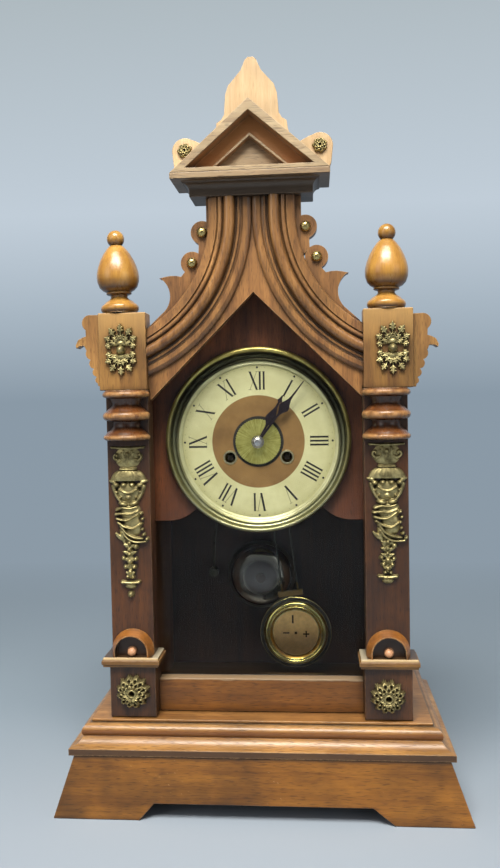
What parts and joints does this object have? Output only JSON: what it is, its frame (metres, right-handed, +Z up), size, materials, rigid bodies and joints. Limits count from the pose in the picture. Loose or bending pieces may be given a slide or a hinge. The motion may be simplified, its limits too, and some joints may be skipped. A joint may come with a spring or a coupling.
{
  "type": "kitchen clock",
  "caption": "Gothic-revival wooden shelf clock with a glazed door, round dial, two hands, alarm bell, pendulum, turned finials and brass mounts.",
  "frame": {"origin": "on the floor, under the middle of the clock's width and depth", "axes": "+X to the right seen from the front, +Y from the glazed front to the back board, +Z up"},
  "size_m": [0.326, 0.16, 0.5976],
  "materials": {
    "skirt_wood": "worn satin shellac",
    "plinth_wood": "worn satin shellac, paler on the edges",
    "case_wood": "satin shellac",
    "back_wood": "matte stained softwood",
    "dial_board_wood": "satin, dark red-brown stain",
    "door_wood": "satin shellac",
    "fret_wood": "satin shellac",
    "capital_wood": "satin shellac",
    "arch_wood": "satin shellac",
    "post_wood": "satin shellac, reddish brown",
    "finial_wood": "satin shellac, golden",
    "cornice_wood": "satin shellac, dark below",
    "crest_wood": "worn matte, light tan",
    "dial_enamel": "satin ivory paint with black numerals",
    "bezel_brass": "aged, polished on the ridge",
    "eyelet_brass": "aged",
    "movement_brass": "brushed, lightly aged",
    "arbor_steel": "brushed",
    "alarm_brass": "radially brushed",
    "hand_black": "satin blued black",
    "mount_brass": "antique, dark in the hollows",
    "hinge_brass": "aged",
    "pendulum_brass": "polished rings, dark lacquered rim",
    "regulator_copper": "engraved, copper-tan",
    "bell_nickel": "worn nickel",
    "door_glass": "clear"
  },
  "bodies": {
    "case": {"skirt_front": "skirt_wood", "skirt_returns": "skirt_wood", "plinth_moulding": "plinth_wood", "plinth_board": "plinth_wood", "case_sides": "case_wood", "back_board": "back_wood", "roof_boards": "case_wood", "dial_board": "dial_board_wood", "dial_plate": "dial_enamel", "dial_bezel": "bezel_brass", "winding_eyelets": "eyelet_brass", "front_plate": "movement_brass", "back_plate": "movement_brass", "plate_pillars": "movement_brass", "suspension_cock": "movement_brass", "bell": "bell_nickel", "bell_stand": "bell_nickel", "hinge_case_leaves": "hinge_brass", "hook_screw": "arbor_steel"},
    "door": {"front_board": "fret_wood", "bottom_rail": "door_wood", "door_frame": "door_wood", "door_glass": "door_glass", "arch_mouldings": "arch_wood", "post_shafts": "post_wood", "post_turnings": "post_wood", "plinth_blocks": "post_wood", "plinth_caps": "capital_wood", "arch_hoods": "capital_wood", "capital_blocks": "capital_wood", "capital_ears": "fret_wood", "finials": "finial_wood", "cornice": "cornice_wood", "pediment": "cornice_wood", "crest_board": "crest_wood", "rosettes": "mount_brass", "capital_mounts": "mount_brass", "post_mounts": "mount_brass", "fret_studs": "mount_brass", "hinge_door_leaves": "hinge_brass", "catch_pin": "hinge_brass"},
    "latch_hook": {"latch_hook": "hinge_brass"},
    "minute_hand": {"minute_hand": "hand_black", "cannon_pinion": "movement_brass"},
    "hour_hand": {"hour_hand": "hand_black", "hour_wheel": "movement_brass"},
    "alarm_disc": {"alarm_disc": "alarm_brass"},
    "minute_wheel": {"minute_wheel": "movement_brass"},
    "centre_wheel": {"centre_wheel": "arbor_steel"},
    "third_wheel": {"third_wheel": "movement_brass"},
    "escape_wheel": {"escape_wheel": "movement_brass"},
    "going_barrel": {"going_barrel": "movement_brass"},
    "pallets": {"pallets": "arbor_steel"},
    "pendulum": {"pendulum_rod": "pendulum_brass", "pendulum_bob": "pendulum_brass"},
    "regulator_disc": {"regulator_disc": "regulator_copper"},
    "time_winding_arbor": {"time_winding_arbor": "arbor_steel"},
    "alarm_winding_arbor": {"alarm_winding_arbor": "arbor_steel"},
    "alarm_barrel": {"alarm_barrel": "movement_brass"},
    "alarm_hammer": {"alarm_hammer": "arbor_steel"}
  },
  "joints": [
    {"name": "door_swing", "type": "hinge", "parent": "case", "child": "door", "pos_m": [0.103, -0.027, 0.2], "axis": [0, 0, 1], "range_deg": [0, 95]},
    {"name": "latch_hook_turn", "type": "hinge", "parent": "case", "child": "latch_hook", "pos_m": [-0.1026, 0.002, 0.222], "axis": [1, 0, 0], "range_deg": [-60, 270]},
    {"name": "minute_hand_turn", "type": "hinge", "parent": "case", "child": "minute_hand", "pos_m": [0, -0.02, 0.2913], "axis": [0, 1, 0], "continuous": true},
    {"name": "hour_hand_turn", "type": "hinge", "parent": "case", "child": "hour_hand", "pos_m": [0, -0.02, 0.2913], "axis": [0, 1, 0], "continuous": true},
    {"name": "minute_wheel_turn", "type": "hinge", "parent": "case", "child": "minute_wheel", "pos_m": [0, -0.012, 0.2793], "axis": [0, 1, 0], "continuous": true},
    {"name": "alarm_disc_turn", "type": "hinge", "parent": "hour_hand", "child": "alarm_disc", "pos_m": [0, -0.02, 0.2913], "axis": [0, 1, 0], "continuous": true},
    {"name": "third_wheel_turn", "type": "hinge", "parent": "case", "child": "third_wheel", "pos_m": [-0.00975, 0.01, 0.30819], "axis": [0, 1, 0], "continuous": true},
    {"name": "centre_wheel_turn", "type": "hinge", "parent": "case", "child": "centre_wheel", "pos_m": [0, 0.009, 0.2913], "axis": [0, 1, 0], "continuous": true},
    {"name": "escape_wheel_turn", "type": "hinge", "parent": "case", "child": "escape_wheel", "pos_m": [0, 0.017, 0.32278], "axis": [0, 1, 0], "continuous": true},
    {"name": "going_barrel_turn", "type": "hinge", "parent": "case", "child": "going_barrel", "pos_m": [0.0235, 0, 0.2783], "axis": [0, 1, 0], "continuous": true},
    {"name": "pendulum_swing", "type": "hinge", "parent": "case", "child": "pendulum", "pos_m": [0, 0.0285, 0.34028], "axis": [0, 1, 0], "range_deg": [-1.5, 15.5]},
    {"name": "pallets_rock", "type": "hinge", "parent": "case", "child": "pallets", "pos_m": [0, 0.0175, 0.34028], "axis": [0, 1, 0], "range_deg": [-1.5, 15.5]},
    {"name": "regulator_disc_turn", "type": "hinge", "parent": "pendulum", "child": "regulator_disc", "pos_m": [0.02692, 0.0285, 0.1172], "axis": [0, 1, 0], "continuous": true},
    {"name": "time_winding_turn", "type": "hinge", "parent": "case", "child": "time_winding_arbor", "pos_m": [0.0235, 0, 0.2783], "axis": [0, 1, 0], "continuous": true},
    {"name": "alarm_winding_turn", "type": "hinge", "parent": "case", "child": "alarm_winding_arbor", "pos_m": [-0.0235, 0, 0.2783], "axis": [0, 1, 0], "continuous": true},
    {"name": "alarm_barrel_turn", "type": "hinge", "parent": "case", "child": "alarm_barrel", "pos_m": [-0.0235, 0, 0.2783], "axis": [0, 1, 0], "continuous": true},
    {"name": "alarm_hammer_strike", "type": "hinge", "parent": "case", "child": "alarm_hammer", "pos_m": [-0.036, 0, 0.2603], "axis": [0, 1, 0], "range_deg": [-3, 8], "stiffness_Nm_per_rad": 0.02}
  ],
  "couplings": [
    {"joint": "hour_hand_turn", "follows": "minute_hand_turn", "ratio": 0.083333},
    {"joint": "minute_wheel_turn", "follows": "minute_hand_turn", "ratio": -0.33333},
    {"joint": "centre_wheel_turn", "follows": "third_wheel_turn", "ratio": -0.083333},
    {"joint": "escape_wheel_turn", "follows": "third_wheel_turn", "ratio": -12},
    {"joint": "going_barrel_turn", "follows": "third_wheel_turn", "ratio": 0.013889},
    {"joint": "pallets_rock", "follows": "pendulum_swing", "ratio": 1}
  ]
}
